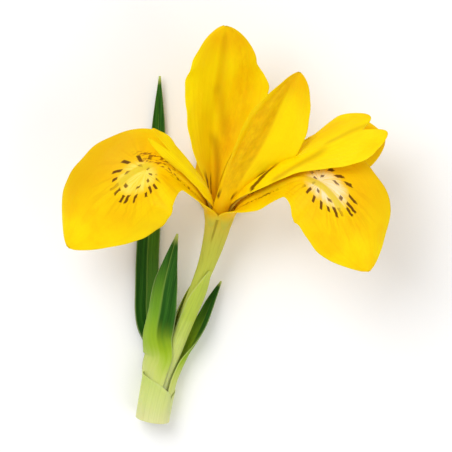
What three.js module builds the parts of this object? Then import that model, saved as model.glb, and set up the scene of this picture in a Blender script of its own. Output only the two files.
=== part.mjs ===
// A dwarf yellow iris, picked with its leaves and laid on its back on a table.
// Millimetres, +Z up. +Y runs from the cut end to the bloom, and the front of the flower looks up.

import * as THREE from "three";

// Driving dimensions
const BUNDLE_RADIUS = 4.4; // outside of the sheathed leaf bases at the cut end
const BLADE = 0.7; // thickness of petals, leaves and the sheath
const PAPERY_BLADE = 0.6; // thickness of the two spathes
const GAP = 0.3; // between pieces that touch on the plant
const THROAT = new THREE.Vector3(14.9, 45.6, 14.89); // where the flower tube opens, from the cut end
const FLOWER_AXIS = new THREE.Vector3(0.13, 0.9, 0.41).normalize(); // from the stem towards the bloom
const STEM_RADIUS = 1.5; // inside the leaf bases
const STEM_RISE = new THREE.Vector3(3, 18, 0); // how far the stem runs on straight from the cut end
const THROAT_RUN = 17; // how far below the throat the tube has turned to the flower's axis
const CLAW_RING = 3.3; // distance of the petals' claws from the flower's axis
const FALL_LENGTH = 47;
const STANDARD_LENGTH = 42.5;
const STYLE_LENGTH = 34;
const STAMEN_LENGTH = 19;
const LEAST_HALF = 0.35; // half the width of a petal's blunt end
const MIDRIB_HALF = 0.12; // share of a petal's half width over which its midrib is rounded

const DEGREE = Math.PI / 180;
const UP = new THREE.Vector3(0, 0, 1);

// Colours
const YELLOW = { color: 0xf7cf05, roughness: 0.5, metalness: 0 };
const TUBE_GREEN = { color: 0xa9ab3c, roughness: 0.5, metalness: 0 };
const LEAF_GREEN = { color: 0x24501f, roughness: 0.45, metalness: 0 };
const PALE_GREEN = { color: 0xcdd68a, roughness: 0.5, metalness: 0 };
const CREAM = { color: 0xf3e9b0, roughness: 0.6, metalness: 0 };

// The value at s of the smooth line through knots of [place, value], which never overshoots them.
function profile(knots, s) {
  const last = knots.length - 1;
  if (s <= knots[0][0]) return knots[0][1];
  if (s >= knots[last][0]) return knots[last][1];
  const slope = (k) => (knots[k + 1][1] - knots[k][1]) / (knots[k + 1][0] - knots[k][0]);
  const tangent = (k) => {
    if (k === 0) return slope(0);
    if (k === last) return slope(last - 1);
    const before = slope(k - 1);
    const after = slope(k);
    return before * after <= 0 ? 0 : (2 * before * after) / (before + after);
  };
  const k = knots.findIndex((knot) => knot[0] > s) - 1;
  const span = knots[k + 1][0] - knots[k][0];
  const t = (s - knots[k][0]) / span;
  const ease = t * t * (3 - 2 * t);
  const value = knots[k][1] * (1 - ease) + knots[k + 1][1] * ease;
  return value + span * t * (1 - t) * (tangent(k) * (1 - t) - tangent(k + 1) * t);
}

// A vector made of shares of other vectors: mix([share, vector], ...).
function mix(...parts) {
  return parts.reduce((sum, [share, vector]) => sum.addScaledVector(vector, share), new THREE.Vector3());
}

// A closed mesh from vertices and triangles.
function meshOf(name, finish, vertices, triangles) {
  const positions = vertices.flatMap((vertex) => vertex.toArray());
  const geometry = new THREE.BufferGeometry();
  geometry.setAttribute("position", new THREE.Float32BufferAttribute(positions, 3));
  geometry.setIndex(triangles);
  const mesh = new THREE.Mesh(geometry, new THREE.MeshStandardMaterial(finish));
  mesh.name = name;
  return mesh;
}

// A blade: surface(s, u) gives its middle layer, s from root to tip and u from -1 to 1 across.
// Both faces are split into triangles alike, so that a waved blade never crosses itself.
function blade(name, finish, surface, rows, columns, thickness = BLADE) {
  const STEP = 1e-3;
  const faces = [[], []];
  for (let i = 0; i <= rows; i++) {
    for (let j = 0; j <= columns; j++) {
      const s = i / rows;
      const u = (2 * j) / columns - 1;
      const lengthwise = surface(Math.min(s + STEP, 1), u).sub(surface(Math.max(s - STEP, 0), u));
      const across = surface(s, Math.min(u + STEP, 1)).sub(surface(s, Math.max(u - STEP, -1)));
      const normal = lengthwise.cross(across).normalize();
      const middle = surface(s, u);
      faces[0].push(mix([1, middle], [thickness / 2, normal]));
      faces[1].push(mix([1, middle], [-thickness / 2, normal]));
    }
  }
  const count = faces[0].length;
  const at = (i, j) => i * (columns + 1) + j;
  const triangles = [];
  for (let i = 0; i < rows; i++) {
    for (let j = 0; j < columns; j++) {
      const [a, b, c, d] = [at(i, j), at(i + 1, j), at(i + 1, j + 1), at(i, j + 1)];
      triangles.push(a, b, c, a, c, d);
      triangles.push(a + count, c + count, b + count, a + count, d + count, c + count);
    }
  }
  const wall = (p, q) => triangles.push(p, q, q + count, p, q + count, p + count);
  for (let i = 0; i < rows; i++) {
    wall(at(i + 1, 0), at(i, 0));
    wall(at(i, columns), at(i + 1, columns));
  }
  for (let j = 0; j < columns; j++) {
    wall(at(0, j), at(0, j + 1));
    wall(at(rows, j + 1), at(rows, j));
  }
  return meshOf(name, finish, faces.flat(), triangles);
}

// A round rod along a curve, with its radius as a profile.
function rod(name, finish, curve, radius, rows, sides) {
  const frames = curve.computeFrenetFrames(rows, false);
  const vertices = [];
  for (let i = 0; i <= rows; i++) {
    const centre = curve.getPointAt(i / rows);
    const r = profile(radius, i / rows);
    for (let j = 0; j < sides; j++) {
      const turn = (j / sides) * 2 * Math.PI;
      const up = [r * Math.cos(turn), frames.normals[i]];
      const aside = [r * Math.sin(turn), frames.binormals[i]];
      vertices.push(mix([1, centre], up, aside));
    }
  }
  const triangles = [];
  for (let i = 0; i < rows; i++) {
    for (let j = 0; j < sides; j++) {
      const k = (j + 1) % sides;
      const [a, b, c, d] = [i * sides + j, i * sides + k, (i + 1) * sides + k, (i + 1) * sides + j];
      triangles.push(a, b, c, a, c, d);
    }
  }
  for (const [end, row] of [[0, 0], [1, rows]]) {
    const centre = vertices.push(curve.getPointAt(end)) - 1;
    for (let j = 0; j < sides; j++) {
      const [p, q] = [row * sides + j, row * sides + ((j + 1) % sides)];
      triangles.push(...(end ? [centre, p, q] : [centre, q, p]));
    }
  }
  return meshOf(name, finish, vertices, triangles);
}

// The flower's own directions: along its axis, to its front and to its right.
const axis = FLOWER_AXIS;
const front = UP.clone().addScaledVector(axis, -axis.z).normalize();
const right = axis.clone().cross(front);

// The middle layer of a petal. turn is its place round the axis, from the front to the right, and root
// its start, out from the axis and up along it. lean is its direction, from straight up (0) over outward
// (90) to straight down (180). sway turns it sideways and roll twists it. width is half across, rounded off
// from tip on. cup is the turn from middle to edge towards the flower's inside, fold the depth of its
// midrib, wave the height of its wavy edge, and notch what splits its end into lobes.
function petal({ turn, root, length, lean, sway, roll, width, tip, cup, fold, wave, notch }) {
  const STEPS = 100;
  const out = mix([Math.cos(turn * DEGREE), front], [Math.sin(turn * DEGREE), right]);
  const side = mix([-Math.sin(turn * DEGREE), front], [Math.cos(turn * DEGREE), right]);
  const directions = (s) => {
    const [bend, aside, twist] = [lean, sway, roll].map((knots) => profile(knots, s) * DEGREE);
    const onward = mix([Math.sin(bend), out], [Math.cos(bend), axis]);
    const forward = mix([Math.cos(aside), onward], [Math.sin(aside), side]);
    const flat = mix([-Math.sin(aside), onward], [Math.cos(aside), side]);
    const inside = forward.clone().cross(flat);
    const across = mix([Math.cos(twist), flat], [Math.sin(twist), inside]);
    return { forward, across, inside: forward.clone().cross(across) };
  };
  const midline = [mix([1, THROAT], [root[0], out], [root[1], axis])];
  for (let k = 0; k < STEPS; k++) {
    midline.push(mix([1, midline[k]], [length / STEPS, directions((k + 0.5) / STEPS).forward]));
  }
  return (s, u) => {
    const cut = notch ? 1 - profile(notch.depth, s) * (Math.abs(u) - notch.lobe) ** 2 : 1;
    const place = s * cut;
    const k = Math.min(Math.floor(place * STEPS), STEPS - 1);
    const { across, inside } = directions(place);
    const centre = midline[k].clone().lerp(midline[k + 1], place * STEPS - k);
    const beyond = place > tip ? (place - tip) / (1 - tip) : 0;
    const half = Math.max(profile(width, place) * Math.sqrt(Math.max(1 - beyond ** 2, 0)), LEAST_HALF);
    const turned = profile(cup, place) * DEGREE;
    const sideways = Math.abs(turned) < 1e-3 ? half * u : (half * Math.sin(turned * u)) / turned;
    const raised = Math.abs(turned) < 1e-3 ? 0 : (half * (1 - Math.cos(turned * u))) / turned;
    const ridge = profile(fold, place) * half * (Math.hypot(u, MIDRIB_HALF) - MIDRIB_HALF);
    const phase = wave.count * 2 * Math.PI * place + wave.shift * u;
    const ripple = profile(wave.height, place) * u ** 2 * Math.sin(phase);
    return mix([1, centre], [sideways, across], [raised + ridge + ripple, inside]);
  };
}

// Falls: a narrow channelled haft that arches over into a broad hanging blade. The rear one's blade lies
// on the table on the lowest points of its two edges, and REAR_TURN is where it bends over to do so.
const REAR_TURN = 0.5028;
const fallShape = {
  root: [CLAW_RING, 0.1],
  length: FALL_LENGTH,
  width: [
    [0, 1.4], [0.08, 2.1], [0.2, 2.7], [0.3, 3.6], [0.37, 7.6],
    [0.46, 10.2], [0.58, 11.4], [0.73, 11], [0.87, 9], [1, 5.6],
  ],
  tip: 0.72,
  cup: [[0, 40], [0.08, 52], [0.28, 42], [0.4, 12], [0.62, -14], [1, -20]],
  fold: [[0, 0], [0.32, -0.05], [0.5, -0.1], [1, -0.12]],
};
const falls = {
  fall_left: {
    ...fallShape,
    turn: -61,
    lean: [[0, 18], [0.08, 35], [0.2, 47], [0.32, 57], [0.46, 112], [0.62, 145], [0.8, 153], [1, 157]],
    sway: [[0, 0], [0.33, -5], [1, -14]],
    roll: [[0, 0], [0.1, -20], [0.25, -42], [0.54, -44], [1, -44]],
    wave: { height: [[0, 0], [0.38, 0], [0.72, 0.9], [1, 0.4]], count: 2.2, shift: 1.2 },
  },
  fall_right: {
    ...fallShape,
    turn: 58,
    length: FALL_LENGTH + 1.8,
    width: [
      [0, 1.4], [0.08, 2.1], [0.2, 2.7], [0.35, 3.4], [0.42, 6.6],
      [0.5, 9.5], [0.61, 11], [0.75, 10.8], [0.88, 9], [1, 5.6],
    ],
    cup: [[0, 40], [0.08, 52], [0.32, 42], [0.44, 12], [0.64, -14], [1, -20]],
    lean: [[0, 21], [0.08, 41], [0.2, 50], [0.36, 51], [0.5, 88], [0.66, 132], [0.82, 146], [1, 150]],
    sway: [[0, 0], [0.3, 2], [1, 8]],
    roll: [[0, 0], [0.1, 20], [0.25, 38], [0.56, 42], [1, 44]],
    wave: { height: [[0, 0], [0.42, 0], [0.75, 1], [1, 0.4]], count: 1.8, shift: 0.4 },
  },
  fall_rear: {
    ...fallShape,
    turn: 180,
    width: [
      [0, 1.4], [0.08, 2.1], [0.25, 2.6], [0.38, 3.4], [0.46, 6.2],
      [0.54, 8.4], [0.64, 9.6], [0.8, 8.8], [1, 5.2],
    ],
    cup: [[0, 40], [0.08, 60], [0.3, 52], [0.44, 10], [0.56, 8], [0.68, 16], [0.86, 8], [1, 4]],
    fold: [[0, 0], [0.35, -0.05], [0.5, 0], [1, 0]],
    lean: [
      [0, 16], [0.08, 34], [0.36, 44], [0.44, 84],
      [REAR_TURN, 150], [REAR_TURN + 0.07, 196], [REAR_TURN + 0.13, 204.15], [1, 204.15],
    ],
    sway: [[0, 0], [1, 0]],
    roll: [[0, 0], [1, 0]],
    wave: { height: [[0, 0], [1, 0]], count: 1, shift: 0 },
  },
};

// Standards: upright petals between the falls, widest above the middle
const standardShape = {
  root: [CLAW_RING, 0.1],
  length: STANDARD_LENGTH,
  tip: 0.74,
  cup: [[0, 30], [0.2, 40], [0.5, 26], [1, 8]],
  fold: [[0, 0], [0.2, 0.1], [0.6, 0.14], [1, 0.06]],
};
const standards = {
  standard_left: {
    ...standardShape,
    width: [[0, 1.4], [0.1, 1.7], [0.2, 2.7], [0.38, 6], [0.54, 8.7], [0.69, 9.5], [0.83, 8.8], [1, 6.2]],
    turn: -122,
    lean: [[0, 10], [0.15, 8], [0.5, 1], [1, -4]],
    sway: [[0, 0], [0.2, -2], [0.55, -7], [1, 12]],
    roll: [[0, 0], [0.3, -24], [1, -42]],
    wave: { height: [[0, 0], [0.4, 0.2], [0.75, 1], [1, 0.4]], count: 2.6, shift: 0.8 },
  },
  standard_front: {
    ...standardShape,
    width: [[0, 1.4], [0.1, 1.9], [0.2, 2.6], [0.38, 4.5], [0.54, 6.3], [0.69, 6.9], [0.83, 6.3], [1, 4.4]],
    turn: -4,
    lean: [[0, 10], [0.15, 12], [0.5, 5], [1, -2]],
    sway: [[0, 3], [0.2, 15], [0.6, 26], [1, 18]],
    roll: [[0, 0], [0.4, 14], [1, 20]],
    fold: [[0, 0], [0.2, -0.1], [0.5, -0.3], [1, -0.25]],
    wave: { height: [[0, 0], [0.4, 0.2], [0.75, 0.8], [1, 0.3]], count: 2.4, shift: 2.2 },
  },
  standard_right: {
    ...standardShape,
    length: STANDARD_LENGTH - 3.5,
    width: [[0, 1.4], [0.1, 1.8], [0.2, 2.5], [0.38, 5], [0.54, 7.3], [0.69, 8.2], [0.83, 7.7], [1, 5.6]],
    turn: 112,
    lean: [[0, 14], [0.12, 34], [0.35, 56], [0.7, 67], [1, 74]],
    sway: [[0, 0], [0.2, -6], [0.6, -15], [1, -14]],
    roll: [[0, 0], [0.2, 6], [0.5, 30], [1, 40]],
    wave: { height: [[0, 0], [0.4, 0.2], [0.75, 1.2], [1, 0.6]], count: 2.3, shift: 1.6 },
  },
};

// Style arms: petal-like, arched over each fall's haft, with a crest split into two lobes
const styleShape = {
  root: [1.15, 0.2],
  length: STYLE_LENGTH,
  width: [[0, 0.9], [0.1, 1.2], [0.35, 2.2], [0.55, 3.2], [0.7, 5], [0.85, 6.2], [1, 5.6]],
  tip: 1,
  cup: [[0, -20], [0.1, -36], [0.45, -24], [0.65, -6], [1, 22]],
  fold: [[0, 0], [0.5, 0], [0.75, -0.2], [1, -0.25]],
  notch: { depth: [[0, 0], [0.3, 0], [1, 0.96]], lobe: 0.5 },
  sway: [[0, 0], [1, 0]],
  roll: [[0, 0], [1, 0]],
};
const styles = {
  style_left: {
    ...styleShape,
    turn: -61,
    length: STYLE_LENGTH - 6,
    width: [[0, 0.9], [0.1, 1.2], [0.35, 2], [0.55, 2.5], [0.7, 3.7], [0.85, 4.5], [1, 4]],
    lean: [[0, 10], [0.1, 30], [0.35, 44], [0.6, 47], [1, 48]],
    roll: [[0, 0], [0.1, -20], [0.3, -44], [1, -48]],
    sway: [[0, 0], [0.15, 12], [0.35, 8], [0.6, -4], [1, -14]],
    wave: { height: [[0, 0], [0.6, 0], [1, 0.5]], count: 3, shift: 1 },
  },
  style_right: {
    ...styleShape,
    turn: 58,
    length: STYLE_LENGTH + 11,
    width: [[0, 0.9], [0.1, 1.4], [0.3, 2.5], [0.5, 3.1], [0.65, 5], [0.82, 7], [1, 5]],
    lean: [[0, 12], [0.1, 32], [0.3, 46], [0.6, 50], [1, 52]],
    roll: [[0, 0], [0.1, 16], [0.3, 38], [1, 60]],
    sway: [[0, 0], [0.12, -5], [0.3, -3], [0.5, 24], [1, 36]],
    notch: { depth: [[0, 0], [0.6, 0], [1, 0.4]], lobe: 0.45 },
    wave: { height: [[0, 0], [0.6, 0], [1, 0.5]], count: 3, shift: 2 },
  },
  style_rear: {
    ...styleShape,
    turn: 180,
    length: STYLE_LENGTH - 2,
    lean: [[0, 10], [0.1, 25], [0.35, 30], [0.6, 24], [0.8, 14], [1, 0]],
    wave: { height: [[0, 0], [0.6, 0], [1, 0.5]], count: 3, shift: 0 },
  },
};

// Stamens: a thin filament and a long anther in the tunnel between haft and style arm
const STAMEN_RADIUS = [[0, 0.28], [0.5, 0.28], [0.56, 0.45], [0.8, 0.55], [0.97, 0.4], [1, 0.2]];
const stamens = {
  stamen_left: { turn: -61, lean: [[0, 12], [0.1, 31], [0.5, 46], [1, 54]] },
  stamen_right: { turn: 58, lean: [[0, 12], [0.1, 33], [0.5, 48], [1, 50]] },
  stamen_rear: { turn: 180, lean: [[0, 10], [0.1, 27], [0.5, 35], [1, 37]] },
};
function stamen(name, { turn, lean }) {
  const still = [[0, 0], [1, 0]];
  const line = petal({
    turn,
    lean,
    root: [2.1, 0.4],
    length: STAMEN_LENGTH,
    sway: still,
    roll: still,
    width: [[0, 1], [1, 1]],
    tip: 1,
    cup: still,
    fold: still,
    wave: { height: still, count: 1, shift: 0 },
  });
  const points = [0, 0.125, 0.25, 0.375, 0.5, 0.625, 0.75, 0.875, 1].map((s) => line(s, 0));
  return rod(name, CREAM, new THREE.CatmullRomCurve3(points), STAMEN_RADIUS, 16, 8);
}

// The flower tube, from the cut end up to the throat
const cutEnd = new THREE.Vector3(0, 0, BUNDLE_RADIUS);
const tubeTop = mix([1, THROAT], [-GAP, axis]);
const tubeLine = new THREE.CubicBezierCurve3(
  cutEnd,
  cutEnd.clone().add(STEM_RISE),
  mix([1, tubeTop], [-THROAT_RUN, axis]),
  tubeTop,
);
const TUBE_RADIUS = [
  [0, STEM_RADIUS], [0.4, STEM_RADIUS], [0.7, 1.8], [0.84, 2.4], [0.93, 3], [1, CLAW_RING + BLADE / 2],
];

// Directions round the tube at a share of its length: upward (off the table) and to the right.
function roundTube(share) {
  const forward = tubeLine.getTangentAt(share);
  const upward = UP.clone().addScaledVector(forward, -forward.z).normalize();
  return { centre: tubeLine.getPointAt(share), forward, upward, rightward: forward.clone().cross(upward) };
}

// A blade wrapped round the tube between two shares of its length. middle is where its back lies, from
// upward to the right, and spread how far it reaches round to each side. It is pressed flat at lowest.
function wrap({ from, to, middle, spread, radius, lowest = -Infinity }) {
  return (s, u) => {
    const { centre, upward, rightward } = roundTube(from + (to - from) * s);
    const angle = (middle + profile(spread, s) * u) * DEGREE;
    const r = profile(radius, s);
    const point = mix([1, centre], [r * Math.cos(angle), upward], [r * Math.sin(angle), rightward]);
    point.z = Math.max(point.z, lowest);
    return point;
  };
}

// Spathes: two papery bracts that close round the tube and taper to a point
const spathes = {
  spathe_outer: {
    from: 0.14,
    to: 0.66,
    middle: -150,
    spread: [[0, 100], [0.4, 110], [0.7, 80], [0.9, 34], [1, 6]],
    radius: [[0, 2.15], [0.6, 2.2], [1, 2.35]],
  },
  spathe_inner: {
    from: 0.14,
    to: 0.74,
    middle: 30,
    spread: [[0, 68], [0.4, 60], [0.7, 60], [0.9, 30], [1, 6]],
    radius: [[0, 2.15], [0.6, 2.25], [1, 2.75]],
  },
};

// The pale sheath round all the leaf bases, which lies on the table on its flattened back
const SHEATH = {
  from: 0,
  to: 0.2,
  middle: -120,
  spread: [[0, 172], [0.55, 168], [0.8, 120], [0.95, 50], [1, 12]],
  radius: [[0, BUNDLE_RADIUS - BLADE / 2 - GAP], [0.6, BUNDLE_RADIUS - BLADE / 2]],
  lowest: 0.62,
};

// Leaves: the base is part of a ring round the tube, and the blade opens into a keeled channel. place is
// where on the ring, from upward to the right, and free the share of the tube where it leaves the ring.
// path gives the blade's middle, from the cut end's foot, facing turns its inner face, from up (0) to the
// left (90), and LEAF_RING is the ring's radius, from the cut end to where a leaf leaves it.
const LEAF_RING = [[0, 2.75], [0.5, 3.05], [1, 3.05]];
const leaves = {
  leaf_short: {
    place: -35,
    free: 0.28,
    path: [[1, 18.5, 8.4], [1.8, 24, 9.7], [2.7, 29.5, 10.5], [4, 35, 11], [5.6, 41, 11.2]],
    facing: [[0, 215], [0.38, 215], [0.7, 200], [1, 195]],
    width: [[0, 2.3], [0.15, 2.55], [0.3, 2.6], [0.5, 3.8], [0.7, 3.1], [0.86, 1.6], [1, 0.3]],
    cup: [[0, 49], [0.34, 49], [0.6, 38], [1, 20]],
  },
  leaf_long: {
    place: -155,
    free: 0.26,
    path: [[-1.1, 21, 1.3], [-1.3, 30, 1.2], [-0.8, 42, 1.2], [1, 59, 1.3], [1.6, 76, 2.4]],
    facing: [[0, 335], [0.17, 335], [0.3, 352], [0.5, 360], [1, 365]],
    width: [[0, 2.3], [0.08, 2.55], [0.3, 2.7], [0.6, 2.5], [0.85, 1.5], [1, 0.3]],
    cup: [[0, 49], [0.17, 49], [0.3, 30], [0.5, 22], [1, 20]],
  },
  leaf_right: {
    place: 92,
    free: 0.2,
    path: [[8, 14.8, 3.8], [11, 20.9, 3.7], [13.1, 26.1, 3.7], [15.2, 30.5, 3.8]],
    facing: [[0, 88], [0.36, 88], [0.58, 56], [1, 30]],
    width: [[0, 2.3], [0.2, 2.6], [0.6, 2.5], [0.8, 1.6], [1, 0.3]],
    cup: [[0, 49], [0.32, 49], [0.65, 36], [1, 20]],
  },
};
function leaf({ place, free, path, facing, width, cup }) {
  const onRing = [0, 0.2, 0.4, 0.6, 0.8, 1].map((step) => {
    const { centre, upward, rightward } = roundTube(step * free);
    const angle = place * DEGREE;
    const r = profile(LEAF_RING, step);
    return mix([1, centre], [r * Math.cos(angle), upward], [r * Math.sin(angle), rightward]);
  });
  const line = new THREE.CatmullRomCurve3([...onRing, ...path.map((p) => new THREE.Vector3(...p))]);
  return (s, u) => {
    const forward = line.getTangentAt(s);
    const level = UP.clone().addScaledVector(forward, -forward.z).normalize();
    const leftward = level.clone().cross(forward);
    const turned = profile(facing, s) * DEGREE;
    const inside = mix([Math.cos(turned), level], [Math.sin(turned), leftward]);
    const across = inside.clone().cross(forward);
    const half = profile(width, s);
    const bent = profile(cup, s) * DEGREE;
    const raised = (half * (1 - Math.cos(bent * u))) / bent;
    return mix([1, line.getPointAt(s)], [(half * Math.sin(bent * u)) / bent, across], [raised, inside]);
  };
}

// The whole flower. A blade has so many rows along it and columns across, and a rod rows and sides.
const iris = new THREE.Group();
for (const [name, shape] of Object.entries(falls)) {
  iris.add(blade(name, YELLOW, petal(shape), 22, 8));
}
for (const [name, shape] of Object.entries({ ...standards, ...styles })) {
  iris.add(blade(name, YELLOW, petal(shape), 16, 8));
}
for (const [name, shape] of Object.entries(stamens)) {
  iris.add(stamen(name, shape));
}
iris.add(rod("stem", TUBE_GREEN, tubeLine, TUBE_RADIUS, 20, 12));
for (const [name, shape] of Object.entries(spathes)) {
  iris.add(blade(name, PALE_GREEN, wrap(shape), 12, 6, PAPERY_BLADE));
}
for (const [name, shape] of Object.entries(leaves)) {
  iris.add(blade(name, LEAF_GREEN, leaf(shape), 24, 4));
}
iris.add(blade("sheath", PALE_GREEN, wrap(SHEATH), 16, 16));

// Down on the table, with the middle of its outline over the origin
const outline = new THREE.Box3().setFromObject(iris, true);
const middle = outline.getCenter(new THREE.Vector3());
iris.position.set(-middle.x, -middle.y, -outline.min.z);

export default iris;
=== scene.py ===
"""A dwarf yellow iris, picked with its leaves and laid on its back on a pale table, seen from above."""

import math

import bpy
import numpy as np
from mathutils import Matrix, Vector, noise


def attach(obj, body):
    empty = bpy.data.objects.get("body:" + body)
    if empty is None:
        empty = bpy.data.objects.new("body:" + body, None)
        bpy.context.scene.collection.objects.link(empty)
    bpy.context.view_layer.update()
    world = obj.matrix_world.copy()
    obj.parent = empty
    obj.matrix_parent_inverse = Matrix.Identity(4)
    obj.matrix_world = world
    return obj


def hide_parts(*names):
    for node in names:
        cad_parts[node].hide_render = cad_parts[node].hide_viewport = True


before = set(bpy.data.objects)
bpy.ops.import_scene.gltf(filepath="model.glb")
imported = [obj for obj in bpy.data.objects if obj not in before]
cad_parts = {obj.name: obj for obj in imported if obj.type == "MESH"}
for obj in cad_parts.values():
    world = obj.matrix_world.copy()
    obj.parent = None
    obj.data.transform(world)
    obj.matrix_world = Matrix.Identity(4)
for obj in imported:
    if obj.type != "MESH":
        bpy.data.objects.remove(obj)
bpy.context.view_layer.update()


# The flower tube
# Stalk and neck of the flower in one: a fleshy tube, cream where it was cut, that widens to a golden funnel.
# Six shallow grooves part its wall near the throat, where the six petals grow out of it.
MILLIMETRE = 0.001  # the pieces' sizes are in millimetres, and their angles in degrees
MEASURED_FROM = np.array((-16.2769, -42.7095, -0.27))  # the cut end's foot, which all sizes start from
BUNDLE_RADIUS = 4.4  # from the bundle's foot up to its middle
THROAT = np.array((14.9, 45.6, 14.89))
UP = np.array((0.0, 0.0, 1.0))


def unit(vectors):
    """Vectors of length 1."""
    return vectors / np.linalg.norm(vectors, axis=-1, keepdims=True)


AXIS = unit(np.array((0.13, 0.9, 0.41)))
FRONT = unit(UP - AXIS[2] * AXIS)
RIGHT = np.cross(AXIS, FRONT)


def profile(knots, s):
    """The smooth line through knots of (place, value) at each s, which never overshoots them."""
    place, value = np.array(knots, float).T
    slope = np.diff(value) / np.diff(place)
    before, after = slope[:-1], slope[1:]
    same_way = before * after > 0
    tangent = np.zeros_like(value)
    tangent[0], tangent[-1] = slope[0], slope[-1]
    tangent[1:-1][same_way] = 2 * before[same_way] * after[same_way] / (before + after)[same_way]
    s = np.clip(s, place[0], place[-1])
    k = np.clip(np.searchsorted(place, s, side="right") - 1, 0, len(place) - 2)
    span = place[k + 1] - place[k]
    t = (s - place[k]) / span
    ease = t * t * (3 - 2 * t)
    bend = span * t * (1 - t) * (tangent[k] * (1 - t) - tangent[k + 1] * t)
    return value[k] * (1 - ease) + value[k + 1] * ease + bend


def even_line(points):
    """The points of a dense line by the share of its length, with its direction there."""
    steps = np.linalg.norm(np.diff(points, axis=0), axis=1)
    share = np.concatenate(([0], np.cumsum(steps))) / steps.sum()
    heading = unit(np.gradient(points, share, axis=0))

    def at(s):
        centre = np.stack([np.interp(s, share, points[:, k]) for k in range(3)], -1)
        forward = np.stack([np.interp(s, share, heading[:, k]) for k in range(3)], -1)
        return centre, unit(forward)

    return at


def tube_points():
    """The tube's middle from the cut end to the throat."""
    t = np.linspace(0, 1, 1501)[:, None]
    cut_end = np.array((0, 0, BUNDLE_RADIUS))
    top = THROAT - 0.3 * AXIS
    handles = cut_end, cut_end + (3, 18, 0), top - 17 * AXIS, top
    shares = (1 - t) ** 3, 3 * t * (1 - t) ** 2, 3 * t**2 * (1 - t), t**3
    return sum(share * handle for share, handle in zip(shares, handles))


tube_line = even_line(tube_points())
TUBE_LENGTH = float(np.linalg.norm(np.diff(tube_points(), axis=0), axis=1).sum())
HALF_GIRTH = 6  # about the millimetres half way round the tube


def round_tube(share, angle, radius):
    """Points round the tube. An angle is measured in degrees from upward to the right."""
    centre, forward = tube_line(share)
    upward = unit(UP - forward * forward[..., 2:])
    rightward = np.cross(forward, upward)
    turn = np.radians(angle)[..., None]
    return centre + radius[..., None] * (np.cos(turn) * upward + np.sin(turn) * rightward)


def piece(name, points, faces, place, flat, finish, node):
    """A smooth mesh of the flower, which stands in for one of the part's nodes.

    place holds each point's share along, share across and side, and flat its millimetres along and across.
    """
    mesh = bpy.data.meshes.new(name)
    mesh.from_pydata(((points + MEASURED_FROM) * MILLIMETRE).tolist(), [], faces)
    for title, values in (("place", place), ("flat", flat)):
        layer = mesh.attributes.new(title, "FLOAT_VECTOR", "POINT")
        layer.data.foreach_set("vector", np.asarray(values, np.float32).ravel())
    mesh.shade_smooth()
    mesh.materials.append(finish)
    made = bpy.data.objects.new(name, mesh)
    bpy.context.scene.collection.objects.link(made)
    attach(made, "root")
    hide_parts(node)


def turned(name, rings, along, finish, node):
    """A closed piece of revolution from rings of points, the first and last drawn together to a point."""
    rows, sides = rings.shape[:2]
    points = np.concatenate((rings.reshape(-1, 3), rings[:1].mean(1), rings[-1:].mean(1)))
    angle = np.tile(np.linspace(-1, 1, sides, endpoint=False), rows)
    place = np.stack((np.repeat(along, sides), angle, np.zeros(rows * sides)), -1)
    place = np.concatenate((place, ((along[0], 0, 0), (along[-1], 0, 0))))
    flat = place * (TUBE_LENGTH, HALF_GIRTH, 1)
    faces = []
    for i in range(rows - 1):
        for j in range(sides):
            k = (j + 1) % sides
            faces.append((i * sides + j, i * sides + k, (i + 1) * sides + k, (i + 1) * sides + j))
    for j in range(sides):
        k = (j + 1) % sides
        faces.append((rows * sides, k, j))
        faces.append((rows * sides + 1, (rows - 1) * sides + j, (rows - 1) * sides + k))
    piece(name, points, faces, place, flat, finish, node)


class Shade:
    """One output of a finish's nodes. Arithmetic on it adds Math nodes, and add() adds any other node."""

    def __init__(self, tree, output=None):
        self.tree = tree
        self.output = output

    def add(self, kind, settings=None, sockets=None, output=0):
        node = self.tree.nodes.new("ShaderNode" + kind)
        for name, value in (settings or {}).items():
            if name == "stops":
                for k, (stop, colour) in enumerate(value):
                    element = node.color_ramp.elements[k] if k < 2 else node.color_ramp.elements.new(stop)
                    element.position, element.color = stop, colour
            else:
                setattr(node, name, value)
        for socket, value in (sockets or {}).items():
            if isinstance(value, Shade):
                self.tree.links.new(value.output, node.inputs[socket])
            else:
                node.inputs[socket].default_value = value
        return Shade(self.tree, node.outputs[output])

    def math(self, operation, *others):
        return self.add("Math", {"operation": operation}, dict(enumerate((self, *others))))

    def __add__(self, other):
        return self.math("ADD", other)

    def __sub__(self, other):
        return self.math("SUBTRACT", other)

    def __mul__(self, other):
        return self.math("MULTIPLY", other)

    def __truediv__(self, other):
        return self.math("DIVIDE", other)

    def __pow__(self, other):
        return self.math("POWER", other)

    def __abs__(self):
        return self.math("ABSOLUTE")

    def __neg__(self):
        return self * -1

    def __rsub__(self, other):
        return -self + other

    __radd__, __rmul__ = __add__, __mul__

    def rise(self, low, high):
        """0 below low and 1 above high, or the other way round where high is the smaller."""
        ends = {"Value": self, "From Min": low, "From Max": high}
        return self.add("MapRange", {"interpolation_type": "SMOOTHSTEP"}, ends)

    def blend(self, first, second):
        """The first colour where this is 0 and the second where it is 1."""
        return self.add("Mix", {"data_type": "RGBA"}, {0: self, 6: first, 7: second}, 2)

    def parts(self):
        """The three numbers of this vector."""
        split = self.add("SeparateXYZ", {}, {0: self})
        return [Shade(self.tree, output) for output in split.output.node.outputs]

    def joined(self, second, third=0.0):
        """The vector that starts with this number."""
        return self.add("CombineXYZ", {}, {0: self, 1: second, 2: third})

    def noise(self, scale, detail=2.0, roughness=0.5):
        """Cloudy values about 0.5 over this vector."""
        sockets = {"Vector": self, "Scale": scale, "Detail": detail, "Roughness": roughness}
        return self.add("TexNoise", {}, sockets)


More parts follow.
